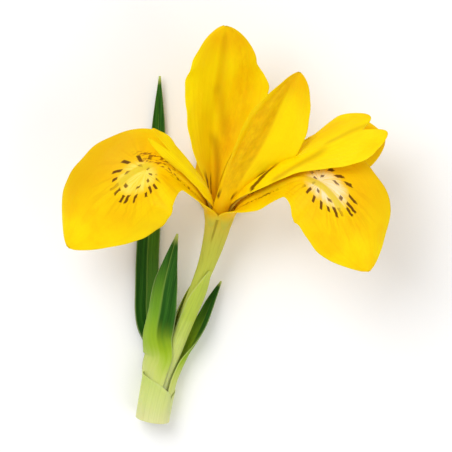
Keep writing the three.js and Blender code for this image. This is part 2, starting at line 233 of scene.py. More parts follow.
def paint(code):
    """A colour as it is seen, from six hexadecimal digits."""
    seen = [int(code[k : k + 2], 16) / 255 for k in (0, 2, 4)]
    return (*(c / 12.92 if c <= 0.04045 else ((c + 0.055) / 1.055) ** 2.4 for c in seen), 1.0)


BUMP_HEIGHT = 0.1  # millimetres that a height of 1 stands for
SUNK_LIGHT = (1.0, 0.7, 0.25)  # how far red, green and blue light go in, as shares of the depth
SKIN_GLOSS = 0.08


def plant_finish(name, surface, translucent, depth):
    """A finish whose surface(shade) gives colour, roughness, height and how strongly the height shows.

    translucent is the share of the light that sinks in, and depth how far it goes, in millimetres.
    """
    finish = bpy.data.materials.new(name)
    finish.use_nodes = True
    tree = finish.node_tree
    skin = tree.nodes["Principled BSDF"]
    colour, roughness, height, strength = surface(Shade(tree))
    raised = {"Height": height, "Strength": strength, "Distance": BUMP_HEIGHT * MILLIMETRE}
    bump = colour.add("Bump", {}, raised)
    tree.links.new(colour.output, skin.inputs["Base Color"])
    tree.links.new(roughness.output, skin.inputs["Roughness"])
    tree.links.new(bump.output, skin.inputs["Normal"])
    skin.inputs["Subsurface Weight"].default_value = translucent
    skin.inputs["Subsurface Radius"].default_value = SUNK_LIGHT
    skin.inputs["Subsurface Scale"].default_value = depth * MILLIMETRE
    skin.inputs["Specular IOR Level"].default_value = SKIN_GLOSS
    return finish


def laid_out(shade):
    """Share along, share across, side (1 inside, 0 on the back), and the millimetres along and across."""
    along, across, side = shade.add("Attribute", {"attribute_name": "place"}, {}, "Vector").parts()
    length, width, _ = shade.add("Attribute", {"attribute_name": "flat"}, {}, "Vector").parts()
    return along, across, side, length, width


def tube_surface(shade):
    along, round_it, _, length, width = laid_out(shade)
    streaks = width.joined(length * 0.06).noise(3.2, 3)
    beside_groove = abs(abs(round_it + (length - TUBE_LENGTH) * 0.008) - 0.01)
    grooves = beside_groove.rise(0.03, 0.004) * along.rise(0.86, 0.92)
    stops = [
        (0.0, paint("f0ecc4")),
        (0.16, paint("dde0a0")),
        (0.4, paint("bccc5c")),
        (0.7, paint("bcc44c")),
        (0.86, paint("bfbe46")),
        (0.95, paint("c8b840")),
        (1.0, paint("d2b42c")),
    ]
    green = shade.add("ValToRGB", {"stops": stops}, {0: along + (streaks - 0.5) * 0.05})
    streaked = (streaks.rise(0.45, 0.75) * 0.25).blend(green, paint("8f9426"))
    # Painted shade: the grooves are darkened in colour.
    colour = (grooves * 0.7).blend(streaked, paint("8a7a1c"))
    return colour, streaks * 0.15 + 0.42, streaks, 0.5


TUBE_RADIUS = [(0, 1.5), (0.4, 1.5), (0.7, 1.8), (0.84, 2.35), (0.93, 2.85), (1, 3.3)]
TUBE_GROOVES = 6
GROOVE_DEPTH = [(0, 0), (0.82, 0.0), (0.95, 0.035), (1, 0.07)]  # as a share of the radius
CUT_FACE = [(0.25, 0.5), (0.9, 0.12), (1.4, 0.0)]  # radius, and how far the face is hollowed there
FUNNEL = [(1.0, 2.95), (0.985, 2.7), (0.955, 2.2), (0.945, 0.6)]  # share of the tube, and inner radius


def flower_tube():
    rows, sides = 150, 72
    angle = np.linspace(-180, 180, sides, endpoint=False)
    along = np.linspace(0, 1, rows)
    s, turn = np.meshgrid(along, angle, indexing="ij")
    grooved = 1 + profile(GROOVE_DEPTH, s) * np.cos(np.radians(TUBE_GROOVES * turn))
    wall = round_tube(s, turn, profile(TUBE_RADIUS, s) * grooved)

    def ring(share, radius):
        return round_tube(np.full(sides, share), angle, np.full(sides, radius))

    cut = [ring(0.0, radius) + (0, hollow, 0) for radius, hollow in CUT_FACE]
    funnel = [ring(share, radius) for share, radius in FUNNEL]
    rings = np.concatenate((np.array(cut), wall, np.array(funnel)))
    shares = np.concatenate((np.zeros(len(CUT_FACE)), along, [share for share, _ in FUNNEL]))
    finish = plant_finish("tube_skin", tube_surface, 0.25, 1.2)
    turned("flower_tube", rings[:, ::-1], shares, finish, "stem")


flower_tube()


# The sheath
# A pale, thin, tubular leaf from the bulb, wrapped once round the foot of the whole bundle. It was cut with
# the stalk, tapers to a point at the back, and the bundle lies on its flattened side.
def shell(name, points, thickness, spans, finish, node):
    """A closed thin piece round a grid of middle points, rows along and columns across.

    spans holds the shares and the millimetres along, the shares across, and half the width.
    """
    rows, columns = points.shape[:2]
    normal = unit(np.cross(np.gradient(points, axis=0), np.gradient(points, axis=1)))
    offset = normal * (thickness / 2)[..., None]
    both = np.concatenate(((points + offset).reshape(-1, 3), (points - offset).reshape(-1, 3)))
    along, across, half = spans
    side = np.repeat((1.0, 0.0), rows * columns)
    place = np.stack((np.tile(along[0].ravel(), 2), np.tile(across.ravel(), 2), side), -1)
    flat = np.stack((np.tile(along[1].ravel(), 2), np.tile((across * half).ravel(), 2), side), -1)
    corner = np.arange(rows * columns).reshape(rows, columns)
    inner = np.stack((corner[:-1, :-1], corner[1:, :-1], corner[1:, 1:], corner[:-1, 1:]), -1).reshape(-1, 4)
    edge = np.concatenate((corner[:-1, 0], corner[-1, :-1], corner[:0:-1, -1], corner[0, :0:-1]))
    following = np.roll(edge, -1)
    under = rows * columns
    wall = np.stack((edge, edge + under, following + under, following), -1)
    faces = np.concatenate((inner, inner[:, ::-1] + under, wall))
    piece(name, both, faces.tolist(), place, flat, finish, node)


def wrapped(start, end, middle, spread, radius, rows, columns):
    """Middle points of a blade wrapped round the tube from start to end, their shares and half widths."""
    s, u = np.meshgrid(np.linspace(0, 1, rows), np.linspace(-1, 1, columns), indexing="ij")
    r = profile(radius, s)
    points = round_tube(start + (end - start) * s, middle + profile(spread, s) * u, r)
    half = r * np.radians(profile(spread, s))
    return points, s, u, half


def pale_leaf_surface(stops, lines, dull, margins):
    """Thin pale green tissue through the stops' colours. lines and margins say how strongly its darker lines
    and its whitish margins show, and dull how rough it is.
    """

    def surface(shade):
        along, across, _, length, width = laid_out(shade)
        veins = width.joined(length * 0.03).noise(3.4, 3)
        clouds = width.joined(length).noise(0.35, 2)
        green = shade.add("ValToRGB", {"stops": stops}, {0: along + (clouds - 0.5) * 0.18})
        lined = (veins.rise(0.42, 0.68) * lines).blend(green, paint("93a548"))
        margin = abs(across).rise(0.8, 0.98) * margins
        colour = margin.blend(lined, paint("eeedcc"))
        return colour, veins * 0.12 + dull, veins, 0.6

    return surface


SHEATH_TOP = 0.2  # the share of the tube that it covers
SHEATH_POINT = -120  # where round the tube it ends in its point
SHEATH_SPREAD = [(0, 179.9), (0.45, 179.8), (0.58, 177), (0.8, 125), (0.95, 50), (1, 12)]
SHEATH_RADIUS = [(0, 3.62), (0.4, 3.6), (1, 3.55)]
CUT_SLANT = 0.8  # how much further the cut reaches on the upper side
LEFT_BULGE = 0.95  # how far the bundle swells it at its top
UNDERSIDE = 3.4  # how deep the side is that it lies on
FLATTENED = 0.4  # how far that side is pressed down
LYING_HEIGHT = 0.42  # the least height of the middle of its wall
SHEATH_STOPS = [
    (0.0, paint("dcdc9e")),
    (0.35, paint("d4dc88")),
    (0.6, paint("d0da7e")),
    (1.0, paint("c2d468")),
]


def leaf_sheath():
    points, s, u, half = wrapped(0, SHEATH_TOP, SHEATH_POINT, SHEATH_SPREAD, SHEATH_RADIUS, 90, 150)
    angle = np.radians(SHEATH_POINT + profile(SHEATH_SPREAD, s) * u)
    points[..., 1] -= CUT_SLANT * (1 - s) ** 5 * np.maximum(np.cos(angle), 0)
    points[..., 0] -= LEFT_BULGE * s**1.6 * np.maximum(-np.sin(angle), 0)
    under = np.clip((BUNDLE_RADIUS - points[..., 2]) / UNDERSIDE, 0, 1) ** 3
    points[..., 2] = np.maximum(points[..., 2] - FLATTENED * under, LYING_HEIGHT)
    thickness = profile([(0, 0.36), (0.5, 0.2), (1, 0.1)], s) * (1 - 0.4 * u**8)
    tissue = pale_leaf_surface(SHEATH_STOPS, lines=0.16, dull=0.38, margins=0.1)
    finish = plant_finish("sheath_skin", tissue, 0.3, 1.0)
    spans = (s, s * SHEATH_TOP * TUBE_LENGTH), u, half
    shell("leaf_sheath", points, thickness, spans, finish, "sheath")


leaf_sheath()


# The leaves
# Three narrow keeled leaves, deep green and tough, cream at the base. Their bases close into a ring round
# the tube inside the sheath, and the blades part from it in turn and end in a pale point.
LEAF_RING = [(0, 2.75), (0.5, 3.05), (1, 3.05)]
KEEL_DEPTH = 0.1
RIB_HEIGHT = 0.018
RIB_PITCH = 0.55
STILL = [(0, 0), (1, 0)]  # a profile that stays at 0


def threaded(points):
    """A dense smooth line through a few points, which are met at an even pace."""
    points = np.array(points, float)
    ends = np.concatenate(([2 * points[0] - points[1]], points, [2 * points[-1] - points[-2]]))
    t = np.linspace(0, 1, 60, endpoint=False)[:, None]
    line = []
    for before, first, second, after in zip(ends, ends[1:], ends[2:], ends[3:]):
        steps = (before, first), (first, second), (second, after)
        lead, span, tail = (math.sqrt(np.linalg.norm(end - start)) for start, end in steps)
        nearing = (first - before) / lead - (second - before) / (lead + span)
        leaving = (nearing + (second - first) / span) * span
        passing = (second - first) / span - (after - first) / (span + tail)
        arriving = (passing + (after - second) / tail) * span
        bend = (2 * first - 2 * second + leaving + arriving) * t**3
        line.append(first + leaving * t + (3 * second - 3 * first - 2 * leaving - arriving) * t**2 + bend)
    return np.concatenate((*line, points[-1:]))


def leaf(name, node, place, free, path, facing, width, cup, finish, length, wider=STILL):
    """A blade that leaves the ring of bases at place, free from that share of the tube, and follows its path.

    facing turns its inside from upward, cup bends it across, and wider broadens its left side.
    """
    shares = np.linspace(0, 1, 6)
    ring = round_tube(shares * free, np.full(6, float(place)), profile(LEAF_RING, shares))
    line = even_line(threaded([*ring, *path]))
    s, u = np.meshgrid(np.linspace(0, 1, 200), np.linspace(-1, 1, 41), indexing="ij")
    centre, forward = line(s)
    level = unit(UP - forward * forward[..., 2:])
    leftward = np.cross(level, forward)
    turn = np.radians(profile(facing, s))[..., None]
    inside = np.cos(turn) * level + np.sin(turn) * leftward
    across = np.cross(inside, forward)
    half = profile(width, s) * (1 + profile(wider, s) * np.clip(-u, 0, 1))
    bent = np.radians(profile(cup, s))
    keel = KEEL_DEPTH * np.exp(-((u / 0.12) ** 2)) * profile([(0, 0), (0.2, 1), (0.9, 1), (1, 0)], s)
    ribs = RIB_HEIGHT * np.cos(u * half * 2 * math.pi / RIB_PITCH) * (1 - u**6)
    raised = half * (1 - np.cos(bent * u)) / bent - keel + ribs
    points = centre + (half * np.sin(bent * u) / bent)[..., None] * across + raised[..., None] * inside
    thickness = profile([(0, 0.75), (0.2, 0.6), (0.4, 0.45), (1, 0.3)], s) * (1 - 0.55 * np.abs(u) ** 3)
    shell(name, points, thickness, ((s, s * length), u, half), finish, node)


def leaf_surface(pale_until, light_side, light_share, tip):
    """Deep green with fine lines, cream up to pale_until millimetres and pale from the share tip on.

    light_side is the side of the keel that is painted lighter, as if lit, and light_share how much.
    """

    def surface(shade):
        along, across, _, length, width = laid_out(shade)
        veins = width.joined(length * 0.02).noise(4.5, 3)
        broad = width.joined(length * 0.015).noise(1.1, 2)
        grain = width.joined(length).noise(2.5, 4)
        green = broad.rise(0.35, 0.62).blend(paint("1c480c"), paint("2e6216"))
        lined = (veins.rise(0.5, 0.7) * 0.35).blend(green, paint("4c7e2c"))
        # Painted light: one side of the keel is lighter, as if lit.
        painted_side_light = (across * light_side).rise(-0.1, 0.08) * light_share * along.rise(0.9, 0.5)
        sided = (painted_side_light * (veins * 0.5 + 0.6)).blend(lined, paint("82b028"))
        keel = abs(across).rise(0.09, 0.02) * 0.4
        keeled = keel.blend(sided, paint("86a748"))
        # The pale base ends lower on the side away from light_side.
        base = length + (broad - 0.5) * 5 + (across * light_side).rise(0.15, -0.15) * 2.5
        yellowish = base.rise(pale_until + 9, pale_until - 2).blend(keeled, paint("9cbb22"))
        paler = base.rise(pale_until + 1, pale_until - 6).blend(yellowish, paint("c4d068"))
        creamy = base.rise(pale_until - 4, pale_until - 13).blend(paler, paint("dadd98"))
        tipped = along.rise(tip, 1.0).blend(creamy, paint("b9c76a"))
        edged = (abs(across).rise(0.92, 0.99) * 0.35).blend(tipped, paint("c3cf8e"))
        return edged, grain * 0.1 + 0.36, veins + grain * 0.3, 0.55

    return surface


def leaf_finish(name, **looks):
    return plant_finish(name, leaf_surface(**looks), 0.12, 0.6)


leaf(
    "short_leaf",
    "leaf_short",
    place=-35,
    free=0.28,
    path=[(1, 18.5, 8.4), (1.8, 24, 9.7), (2.7, 29.5, 10.5), (4, 35, 11), (5.6, 41, 11.2)],
    facing=[(0, 215), (0.38, 215), (0.7, 200), (1, 195)],
    width=[(0, 2.3), (0.15, 2.55), (0.3, 2.6), (0.5, 3.8), (0.7, 3.1), (0.86, 1.6), (1, 0.2)],
    cup=[(0, 49), (0.34, 49), (0.6, 38), (1, 20)],
    wider=[
        (0.08, 0), (0.19, 0.9), (0.25, 1.55), (0.32, 1.95),
        (0.38, 1.3), (0.43, 0.7), (0.49, 0.25), (0.58, 0),
    ],
    length=43,
    finish=leaf_finish("short_leaf_skin", pale_until=17.5, light_side=-1.0, light_share=0.85, tip=0.93),
)

leaf(
    "long_leaf",
    "leaf_long",
    place=-155,
    free=0.26,
    path=[(-1.1, 21, 1.3), (-1.3, 30, 1.2), (-0.8, 42, 1.2), (1, 59, 1.3), (1.6, 76, 2.4)],
    facing=[(0, 335), (0.17, 335), (0.3, 352), (0.5, 360), (1, 365)],
    width=[(0, 2.3), (0.08, 2.55), (0.3, 2.7), (0.6, 2.5), (0.85, 1.5), (1, 0.2)],
    cup=[(0, 49), (0.17, 49), (0.3, 30), (0.5, 22), (1, 20)],
    length=77,
    finish=leaf_finish("long_leaf_skin", pale_until=13.5, light_side=-1.0, light_share=0.2, tip=0.97),
)

leaf(
    "right_leaf",
    "leaf_right",
    place=92,
    free=0.2,
    path=[(8, 14.8, 3.8), (11, 20.9, 3.7), (13.1, 26.1, 3.7), (15.2, 30.5, 3.8)],
    facing=[(0, 88), (0.36, 88), (0.58, 56), (1, 30)],
    width=[(0, 2.3), (0.2, 2.6), (0.6, 2.5), (0.8, 1.6), (1, 0.2)],
    cup=[(0, 49), (0.32, 49), (0.65, 36), (1, 20)],
    length=34,
    finish=leaf_finish("right_leaf_skin", pale_until=17, light_side=1.0, light_share=0.85, tip=0.95),
)


# The spathes
# Two papery bracts that sheathed the bud, pale green with fine lines and whitish, skin-thin margins. They
# close round the tube above the leaves and end in a slant point.
SPATHE_STOPS = [
    (0.0, paint("dce098")),
    (0.3, paint("ced97a")),
    (0.6, paint("b4c84c")),
    (0.85, paint("b4c44a")),
    (1.0, paint("bcc858")),
]
bract = pale_leaf_surface(SPATHE_STOPS, lines=0.35, dull=0.4, margins=0.18)
spathe_skin = plant_finish("spathe_skin", bract, 0.3, 1.0)


def spathe(name, node, start, end, middle, spread, radius):
    points, s, u, half = wrapped(start, end, middle, spread, radius, 130, 90)
    thickness = profile([(0, 0.34), (0.7, 0.26), (1, 0.14)], s) * (1 - 0.6 * u**6)
    spans = (s, s * (end - start) * TUBE_LENGTH), u, half
    shell(name, points, thickness, spans, spathe_skin, node)


spathe(
    "outer_spathe",
    "spathe_outer",
    start=0.14,
    end=0.66,
    middle=-150,
    spread=[(0, 100), (0.4, 110), (0.7, 80), (0.9, 34), (1, 5)],
    radius=[(0, 2.15), (0.6, 2.15), (1, 2.0)],
)

spathe(
    "inner_spathe",
    "spathe_inner",
    start=0.14,
    end=0.74,
    middle=30,
    spread=[(0, 68), (0.4, 60), (0.7, 60), (0.9, 30), (1, 5)],
    radius=[(0, 2.15), (0.6, 2.2), (1, 2.3)],
)


# The falls
# The three lower petals: a narrow channelled haft arches out from the tube and opens into a broad, drooping
# blade, soft and thin, with a raised midrib. A cream patch ringed by brown dashes guides insects to the haft.
CLAW_RING = 3.3  # how far from the tube's middle the claws stand
LEAST_HALF = 0.35  # the least half width
CREASE_LENGTH, CREASE_BREADTH = 3.6, 2.6
RAGGED = 0.014  # how uneven the margins are, as a share of the half width
VEINS = 13
MIDRIB_BREADTH = 0.55
VEIN_HEIGHT = [(0, 0), (0.3, 0.005), (0.5, 0.01), (0.9, 0.01), (1, 0.003)]
PETAL_THICKNESS = [(-0.08, 0.2), (0.02, 0.5), (0.25, 0.5), (0.5, 0.34), (1, 0.24)]


def crinkles(along, across, seed):
    """Soft creases a few millimetres apart over a petal's flat sheet, from -1 to 1."""
    spots = np.stack((along / CREASE_LENGTH, across / CREASE_BREADTH, np.full_like(along, seed)), -1)
    return np.array([noise.noise(spot) for spot in spots.reshape(-1, 3).tolist()]).reshape(along.shape)


def petal_points(
    turn, root, length, lean, sway, roll, width, tip, cup, fold, wave, crest,
    notch=None, pleat=None, flares=(), claw=0.06, sink=17, rows=150, columns=91,
):
    """Middle points of a petal, its claw let into the tube below the throat, their shares and half widths.

    The petal starts at root, out from the throat and up, at turn degrees round it. lean, sway and roll turn
    it on its way. cup, fold, wave, crest and pleat raise it off a flat sheet. flares widen a side or draw
    it back.
    """
    bearing = math.radians(turn)
    out = math.cos(bearing) * FRONT + math.sin(bearing) * RIGHT
    side = -math.sin(bearing) * FRONT + math.cos(bearing) * RIGHT

    def directions(s):
        bend, aside, twist = (np.radians(profile(knots, s))[..., None] for knots in (lean, sway, roll))
        onward = np.sin(bend) * out + np.cos(bend) * AXIS
        forward = np.cos(aside) * onward + np.sin(aside) * side
        level = -np.sin(aside) * onward + np.cos(aside) * side
        inside = np.cross(forward, level)
        across = np.cos(twist) * level + np.sin(twist) * inside
        return forward, across, np.cross(forward, across)

    pace = 1 / 500
    heading = directions(np.arange(pace / 2, 1, pace))[0]
    start = THROAT + root[0] * out + root[1] * AXIS
    midline = start + np.concatenate((np.zeros((1, 3)), np.cumsum(heading, 0))) * length * pace
    below = math.radians(sink)
    into_tube = math.sin(below) * out + math.cos(below) * AXIS

    s, u = np.meshgrid(np.linspace(-claw, 1, rows), np.linspace(-1, 1, columns), indexing="ij")
    split = 0
    if notch:
        split = profile(notch["depth"], s) * (np.abs(u) - notch["lobe"]) ** 2
        split = split + profile([(0.6, 0), (1, notch["slant"])], s) * (1 + u) / 2
    place = s * (1 - split)
    reach = np.clip(place, 0, 1)
    swept = reach
    broadened = 1
    for which, wider, drawn_back in flares:
        one_side = np.clip(u * which, 0, 1) ** 2
        swept = swept - profile(drawn_back, place) * one_side
        broadened = broadened * (1 + profile(wider, place) * one_side)
    shares = np.linspace(0, 1, len(midline))
    centre = np.stack([np.interp(swept, shares, midline[:, k]) for k in range(3)], -1)
    centre = centre + np.minimum(place, 0)[..., None] * length * into_tube
    _, across, inside = directions(reach)
    beyond = np.maximum(place - tip, 0) / (1 - tip) if tip < 1 else 0
    half = np.maximum(profile(width, place) * np.sqrt(np.maximum(1 - beyond**2, 0)), LEAST_HALF)
    uneven = np.sin(23 * place + turn + 1.5 * np.sign(u)) + 0.6 * np.sin(51 * place + 3 * np.sign(u))
    half = half * broadened * (1 + RAGGED * uneven * profile([(0.3, 0), (0.5, 1)], place) * np.abs(u) ** 3)
    turned_in = np.radians(profile(cup, place))
    safe = np.where(np.abs(turned_in) < 1e-3, 1e-3, turned_in)
    sideways = half * np.sin(safe * u) / safe
    raised = half * (1 - np.cos(safe * u)) / safe
    ridge = profile(fold, place) * half * (np.hypot(u, 0.12) - 0.12)
    height, count, shift = wave
    phase = count * 2 * math.pi * place + shift * u
    ripple = profile(height, place) * (u**2 * np.sin(phase) + 0.16 * u**6 * np.sin(3.1 * phase + 1.7 + 2 * u))
    veins = np.cos(u * VEINS * math.pi) * profile(VEIN_HEIGHT, place)
    midrib = profile(crest, place) * np.exp(-((u * half / MIDRIB_BREADTH) ** 2))
    lift = raised + ridge + ripple + veins + midrib
    if pleat:
        middle, breadth, depth = pleat
        lift = lift + profile(depth, place) * np.exp(-(((u - middle) / breadth) ** 2))
    broad = crinkles(place * length / 2.4, u * half / 1.6, turn)
    fine = crinkles(place * length, u * half, turn + 7)
    crumpled = 0.3 * broad + (0.05 + 0.12 * np.abs(u) ** 1.5) * fine
    lift = lift + crumpled * profile([(0.15, 0), (0.45, 1)], place)
    points = centre + sideways[..., None] * across + lift[..., None] * inside
    return points, place, u, half


def petal(name, node, finish, thickness=PETAL_THICKNESS, **shape):
    points, place, u, half = petal_points(**shape)
    thick = profile(thickness, place) * (1 - 0.62 * np.abs(u) ** 4)
    shell(name, points, thick, ((place, place * shape["length"]), u, half), finish, node)


def petal_yellow(along, across, side, length, width):
    """Clear yellow with faint fanning veins, golden low down, greenish at the claw and dull on the back."""
    veins = (across * 17).joined(along * 2.4).noise(1.0, 3, 0.6)
    clouds = width.joined(length * 0.7).noise(0.16, 3)
    grain = width.joined(length).noise(2.2, 3)
    bright = clouds.rise(0.34, 0.6).blend(paint("fcc900"), paint("ffd800"))
    veined = (veins.rise(0.5, 0.72) * 0.22).blend(bright, paint("eeaf00"))
    margin = (abs(across).rise(0.75, 1.0) * 0.4).blend(veined, paint("ffdc08"))
    golden = (along.rise(0.17, 0.02) * 0.5).blend(margin, paint("e0ae08"))
    backed = ((1 - side) * 0.3).blend(golden, paint("ecb404"))
    claw = along.rise(0.035, -0.045).blend(backed, paint("c2b840"))
    return claw, veins, grain


DASHES = 17
DOTS = 7


def fall_surface(centre, aside, half_length, half_width, cream, smear, deeper, seed):
    """The yellow with painted shade, and its patch: an oval in a ring of dashes, with dots and a midrib.

    The patch's place and half sizes are in millimetres, cream is its colour, and seed sets its marks apart.
    smear is how strongly brown shows on the neck, and the shade side is where the blade gets more painted
    shade.
    """

    def surface(shade):
        along, across, side, length, width = laid_out(shade)
        yellow, veins, grain = petal_yellow(along, across, side, length, width)
        upper = side.rise(0.4, 0.6)
        wander = width.joined(length, seed).noise(0.8, 2) - 0.5
        far = (length - centre) / half_length
        beside = (width - aside + wander * 0.6) / half_width
        ring = (far**2 + beside**2) ** 0.5 + wander * 0.12
        angle = beside.math("ARCTAN2", far - (ring - 1) * 0.45)
        # Painted shade: the middle of the blade is deepened, and more so on one side.
        blade = along.rise(0.36, 0.5) * along.rise(0.96, 0.7)
        yellow = (blade * 0.35).blend(yellow, paint("eeb400"))
        shaded = blade * (across * deeper).rise(-0.1, 0.8)
        yellow = (shaded * 0.75).blend(yellow, paint("dca900"))
        # Painted shade of the creases that fan out round the patch.
        around = ring.rise(0.9, 1.15) * ring.rise(2.6, 1.3) * upper
        crease_shade_rays = (angle * 5).joined(length * 0.06, seed).noise(1.7, 2).rise(0.48, 0.64)
        yellow = (around * crease_shade_rays * 0.36).blend(yellow, paint("dea800"))
        midrib = abs(width).rise(0.9, 0.35)
        fans = (angle * 4.5).joined(length * 0.1, seed).noise(1.6, 2).rise(0.36, 0.6)
        patch = ring.rise(1.0, 0.5) * (1 - midrib * 0.8) * upper
        creamy = (patch * (0.35 + fans * 0.65)).blend(yellow, paint(cream))
        creamy = (midrib * ring.rise(1.0, 0.6) * upper * 0.5).blend(creamy, paint("cdc63a"))
        sectors = angle * (DASHES / (2 * math.pi)) + seed
        sector = sectors.math("ROUND")
        chance = shade.add("TexWhiteNoise", {"noise_dimensions": "1D"}, {"W": sector}, "Color")
        turned_by, moved_by, longer_by = chance.parts()
        pitch = half_width * 2.35 / DASHES * math.pi
        off_line = abs(sectors - sector + (turned_by - 0.5) * 0.5) * ring * pitch
        off_ring = abs(ring - 1.02 - (moved_by - 0.5) * 0.24)
        reach = 0.11 + longer_by * 0.11
        dash = off_line.rise(0.4, 0.22) * (off_ring / reach).rise(1.1, 0.75)
        ahead = far.rise(-0.92, -0.6)
        dots = (angle * (DOTS / (2 * math.pi)) + seed * 1.7).math("FRACT") - 0.5
        dotted = (abs(dots) * ring).rise(0.12, 0.05) * abs(ring - 0.55).rise(0.09, 0.04)
        marks = (dash * ahead + dotted * 0.9).math("MINIMUM", 1.0) * (1 - midrib * 0.6) * upper
        marked = (marks * 0.92).blend(creamy, paint("5a2c05"))
        haft = along.rise(0.06, 0.16) * along.rise(0.37, 0.27)
        beside_rib = abs(abs(width) - 1.15).rise(0.55, 0.1) * haft
        broken = width.joined(length * 0.35, seed).noise(3.0, 2).rise(0.46, 0.6)
        streaked = (beside_rib * broken * 0.8 * upper).blend(marked, paint("7a4206"))
        drift = across + (along - 0.33) * 2.2
        neck = along.rise(0.26, 0.31) * along.rise(0.5, 0.43)
        rows = abs(abs(drift - 0.02) - 0.09).rise(0.09, 0.03) * neck
        streaked = (rows * broken * 0.85 * upper * smear).blend(streaked, paint("8a4a08"))
        crumpled = width.joined(length * 0.6, seed).noise(0.4, 2)
        return streaked, grain * 0.14 + 0.42, veins + grain * 0.35 + crumpled * 3, 0.35

    return surface


def fall_finish(name, **patch):
    return plant_finish(name, fall_surface(**patch), 0.35, 0.9)


FALL_CUP = [(0, 60), (0.06, 54), (0.14, 36), (0.28, 30), (0.4, 12), (0.62, -14), (1, -20)]
FALL_CREST = [(0, 0), (0.1, 0.3), (0.4, 0.4), (0.52, 0.12), (0.75, 0.1), (1, 0)]
FALL_FOLD = [(0, 0), (0.32, -0.05), (0.5, -0.1), (1, -0.12)]
FALL_LENGTH = 47
petal(
    "left_fall",
    "fall_left",
    fall_finish(
        "left_fall_skin",
        centre=24.2,
        aside=1.3,
        half_length=6,
        half_width=3.9,
        cream="fce264",
        smear=1,
        deeper=-1,
        seed=0.3,
    ),
    turn=-61,
    root=(CLAW_RING, 0.1),
    length=FALL_LENGTH,
    claw=0.13,
    sink=11,
    width=[
        (-0.13, 2), (0, 3.45), (0.04, 3.4), (0.1, 2.8), (0.2, 2.9), (0.3, 3.7),
        (0.37, 7.2), (0.46, 8.9), (0.58, 10), (0.73, 10.2), (0.87, 8.9), (1, 5.6),
    ],
    tip=0.72,
    cup=FALL_CUP,
    fold=FALL_FOLD,
    lean=[
        (0, 18), (0.08, 35), (0.2, 47), (0.32, 57), (0.46, 112), (0.62, 145), (0.8, 153), (1, 157)
    ],
    sway=[(0, 0), (0.33, -5), (1, -14)],
    roll=[(0, 0), (0.1, -34), (0.25, -52), (0.54, -46), (1, -44)],
    wave=([(0, 0), (0.38, 0), (0.72, 0.9), (1, 0.4)], 2.2, 1.2),
    flares=[
        (
            1,
            [(0.27, 0), (0.34, 0.24), (0.4, 0.15), (0.48, 0.28), (0.6, 0.3), (0.72, 0.14), (0.88, 0)],
            [(0.22, 0), (0.32, 0.06), (0.38, 0.07), (0.46, 0.04), (0.6, 0)],
        ),
    ],
    crest=FALL_CREST,
)

petal(
    "right_fall",
    "fall_right",
    fall_finish(
        "right_fall_skin",
        centre=28.6,
        aside=0.6,
        half_length=6.4,
        half_width=3.7,
        cream="f8e4b6",
        smear=0,
        deeper=0.5,
        seed=0.72,
    ),
    turn=58,
    root=(CLAW_RING, 0.1),
    length=FALL_LENGTH + 1.8,
    claw=0.13,
    sink=11,
    width=[
        (-0.13, 2), (0, 3.45), (0.04, 3.4), (0.1, 2.8), (0.2, 3), (0.35, 3.7),
        (0.42, 6.6), (0.5, 9.5), (0.61, 11), (0.75, 10.8), (0.88, 9), (1, 5.6),
    ],
    tip=0.72,
    cup=[(0, 60), (0.06, 56), (0.14, 34), (0.32, 26), (0.44, 12), (0.64, -14), (1, -20)],
    fold=FALL_FOLD,
    lean=[
        (0, 19), (0.08, 37), (0.2, 48), (0.36, 51), (0.5, 89), (0.66, 132), (0.82, 146), (1, 150)
    ],
    sway=[(0, 0), (0.3, 2), (1, 8)],
    roll=[(0, 0), (0.1, 36), (0.25, 56), (0.56, 44), (1, 44)],
    wave=([(0, 0), (0.42, 0), (0.75, 1), (1, 0.4)], 1.8, 0.4),
    flares=[
        (-1, [(-0.05, 0), (0.04, 0.16), (0.12, 0.5), (0.2, 0.55), (0.28, 0.25), (0.36, 0)], STILL),
        (-1, [(0.44, 0), (0.52, -0.03), (0.6, -0.14), (0.72, -0.12), (0.9, 0)], STILL),
    ],
    crest=FALL_CREST,
)

petal(
    "rear_fall",
    "fall_rear",
    fall_finish(
        "rear_fall_skin",
        centre=21.8,
        aside=0,
        half_length=5.6,
        half_width=3.9,
        cream="fff0b8",
        smear=0,
        deeper=1,
        seed=0.15,
    ),
    turn=180,
    root=(CLAW_RING, 0.1),
    length=FALL_LENGTH,
    width=[
        (0, 1.7), (0.08, 2.1), (0.25, 2.6), (0.38, 3.4), (0.46, 6.2),
        (0.54, 8.4), (0.64, 9.6), (0.8, 8.8), (1, 5.2),
    ],
    tip=0.72,
    cup=[(0, 30), (0.08, 58), (0.3, 52), (0.44, 10), (0.56, 8), (0.68, 16), (0.86, 8), (1, 4)],
    fold=[(0, 0), (0.35, -0.05), (0.5, 0), (1, 0)],
    lean=[
        (0, 16), (0.08, 34), (0.36, 44), (0.44, 84),
        (0.5028, 150), (0.5728, 196), (0.6328, 204.15), (1, 204.15),
    ],
    sway=STILL,
    roll=STILL,
    wave=(STILL, 1, 0),
    flares=[(1, [(0.44, 0), (0.56, -0.24), (0.62, -0.32), (0.72, -0.28), (0.86, 0)], STILL)],
    crest=FALL_CREST,
)
